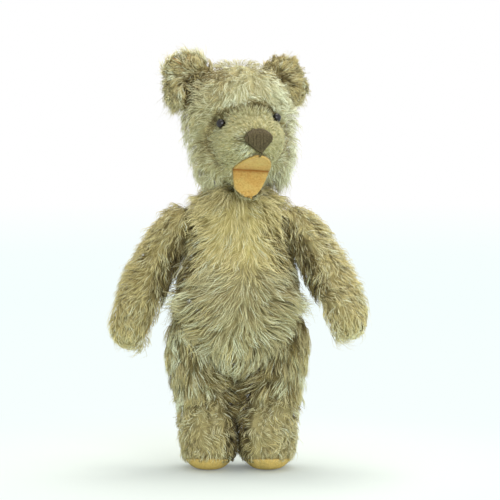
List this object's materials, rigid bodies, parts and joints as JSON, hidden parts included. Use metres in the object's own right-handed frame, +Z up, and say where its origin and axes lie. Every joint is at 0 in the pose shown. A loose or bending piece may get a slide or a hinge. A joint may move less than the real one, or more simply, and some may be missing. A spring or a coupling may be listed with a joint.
{
  "type": "jointed teddy bear",
  "caption": "Standing jointed teddy bear of worn mohair, with a turned head, round ears, glass eyes, a stitched nose, an open felt mouth and felt soles.",
  "frame": {"origin": "centre of the bear's footprint, on the surface that it stands on", "axes": "+Z up, -Y the way that the bear's body faces, +X towards the bear's own left"},
  "size_m": [0.1698, 0.0894, 0.2743],
  "materials": {
    "head_mohair": "long worn mohair pile, greyed beige with brown tips",
    "ear_mohair": "darker brown mohair pile with pale wisps",
    "torso_mohair": "long wavy mohair pile, cream on the chest and grey-beige on the belly",
    "limb_mohair": "worn beige mohair pile, paler at the paws",
    "wood_wool": "packed wood-wool filling",
    "felt": "orange-tan wool felt",
    "hardboard": "pressed hardboard joint disc",
    "steel": "dull steel",
    "eye_glass": "solid dark glass",
    "thread": "brown embroidery floss",
    "card": "grey-brown pressed card insole"
  },
  "bodies": {
    "torso": {"torso_cover": "torso_mohair", "torso_filling": "wood_wool", "torso_left_hip_disc": "hardboard", "torso_left_hip_washer": "steel", "torso_left_shoulder_disc": "hardboard", "torso_left_shoulder_washer": "steel", "torso_neck_disc": "hardboard", "torso_neck_washer": "steel", "torso_right_hip_disc": "hardboard", "torso_right_hip_washer": "steel", "torso_right_shoulder_disc": "hardboard", "torso_right_shoulder_washer": "steel"},
    "head": {"head_cover": "head_mohair", "head_disc": "hardboard", "head_filling": "wood_wool", "head_washer": "steel", "left_ear": "ear_mohair", "left_eye": "eye_glass", "left_eye_loop": "steel", "mouth_felt": "felt", "neck_split_pin": "steel", "nose_stitching": "thread", "right_ear": "ear_mohair", "right_eye": "eye_glass", "right_eye_loop": "steel"},
    "left_arm": {"left_arm_cover": "limb_mohair", "left_arm_disc": "hardboard", "left_arm_filling": "wood_wool", "left_arm_paw_pad": "felt", "left_arm_washer": "steel", "left_shoulder_split_pin": "steel"},
    "right_arm": {"right_arm_cover": "limb_mohair", "right_arm_disc": "hardboard", "right_arm_filling": "wood_wool", "right_arm_paw_pad": "felt", "right_arm_washer": "steel", "right_shoulder_split_pin": "steel"},
    "left_leg": {"left_hip_split_pin": "steel", "left_leg_cover": "limb_mohair", "left_leg_disc": "hardboard", "left_leg_filling": "wood_wool", "left_leg_insole": "card", "left_leg_sole": "felt", "left_leg_washer": "steel"},
    "right_leg": {"right_hip_split_pin": "steel", "right_leg_cover": "limb_mohair", "right_leg_disc": "hardboard", "right_leg_filling": "wood_wool", "right_leg_insole": "card", "right_leg_sole": "felt", "right_leg_washer": "steel"}
  },
  "joints": [
    {"name": "head_turn", "type": "hinge", "parent": "torso", "child": "head", "pos_m": [0.0002, 0.0086, 0.1855], "axis": [0, 0, 1], "range_deg": [-94, 66]},
    {"name": "left_arm_swing", "type": "hinge", "parent": "torso", "child": "left_arm", "pos_m": [0.0315, 0.0086, 0.16], "axis": [-1, 0, 0], "range_deg": [-74, 76]},
    {"name": "right_arm_swing", "type": "hinge", "parent": "torso", "child": "right_arm", "pos_m": [-0.0311, 0.0086, 0.16], "axis": [-1, 0, 0], "range_deg": [-54, 96]},
    {"name": "left_leg_swing", "type": "hinge", "parent": "torso", "child": "left_leg", "pos_m": [0.0212, 0.0086, 0.088], "axis": [-0.9397, 0, 0.342], "range_deg": [-10, 95]},
    {"name": "right_leg_swing", "type": "hinge", "parent": "torso", "child": "right_leg", "pos_m": [-0.0208, 0.0086, 0.088], "axis": [-0.9397, 0, -0.342], "range_deg": [-10, 95]}
  ]
}
